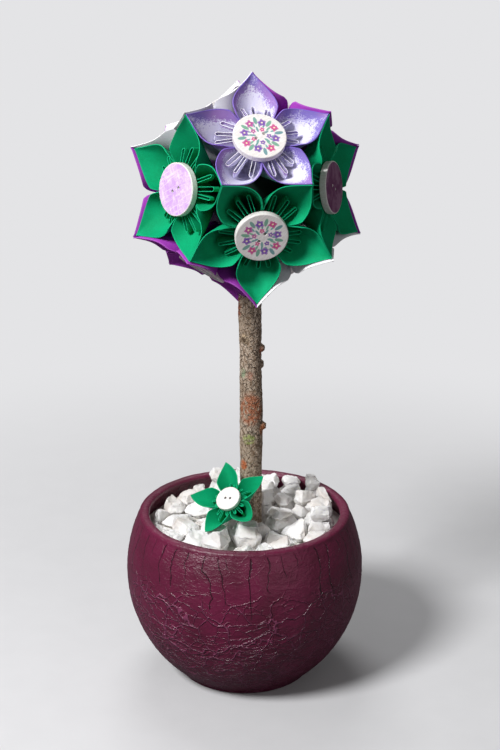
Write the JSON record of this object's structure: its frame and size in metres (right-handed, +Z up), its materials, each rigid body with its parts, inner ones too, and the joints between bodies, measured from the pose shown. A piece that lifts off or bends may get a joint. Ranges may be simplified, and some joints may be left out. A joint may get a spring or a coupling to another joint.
{
  "type": "kusudama paper ball topiary",
  "caption": "Folded paper kusudama ball of white, green and violet flowers with wooden button centres, glued on a twig that stands among white stone chips in a round plum glazed pot.",
  "frame": {"origin": "middle of the pot's flat foot, on the ground", "axes": "+Z up along the pot axis, -Y towards the viewer in the picture (front), +X to the right as seen from the front"},
  "size_m": [0.148, 0.148, 0.3776],
  "materials": {
    "paper_white_lilac": "matte, white with lilac pencil shading",
    "paper_white": "matte",
    "paper_green": "matte",
    "paper_violet": "matte",
    "button_printed": "white satin with a printed flower",
    "button_lilac": "lilac wash, satin",
    "button_plum": "plum print, satin",
    "button_white": "white satin",
    "bark": "rough bark",
    "hot_glue": "satin",
    "pot_glaze": "satin crackle glaze, plum",
    "plaster": "matte",
    "marble_chips": "matte, broken"
  },
  "bodies": {
    "root": {"flower_01_petals": "paper_white_lilac", "flower_01_frill": "paper_white_lilac", "flower_01_button": "button_printed", "flower_02_petals": "paper_green", "flower_02_frill": "paper_green", "flower_02_button": "button_printed", "flower_03_petals": "paper_green", "flower_03_frill": "paper_green", "flower_03_button": "button_lilac", "flower_04_petals": "paper_green", "flower_04_frill": "paper_green", "flower_04_button": "button_plum", "flower_05_petals": "paper_white", "flower_05_frill": "paper_white", "flower_05_button": "button_printed", "flower_06_petals": "paper_violet", "flower_06_frill": "paper_violet", "flower_06_button": "button_lilac", "flower_07_petals": "paper_violet", "flower_07_frill": "paper_violet", "flower_07_button": "button_printed", "flower_08_petals": "paper_white", "flower_08_frill": "paper_white", "flower_08_button": "button_lilac", "flower_09_petals": "paper_violet", "flower_09_frill": "paper_violet", "flower_09_button": "button_printed", "flower_10_petals": "paper_violet", "flower_10_frill": "paper_violet", "flower_10_button": "button_lilac", "flower_11_petals": "paper_white", "flower_11_frill": "paper_white", "flower_11_button": "button_printed", "flower_12_petals": "paper_white", "flower_12_frill": "paper_white", "flower_12_button": "button_lilac", "pot": "pot_glaze", "pot_fill": "plaster", "trunk": "bark", "glue_plug": "hot_glue", "stone_chips": "marble_chips", "small_flower_petals": "paper_green", "small_flower_frill": "paper_green", "small_flower_button": "button_white"}
  },
  "joints": []
}
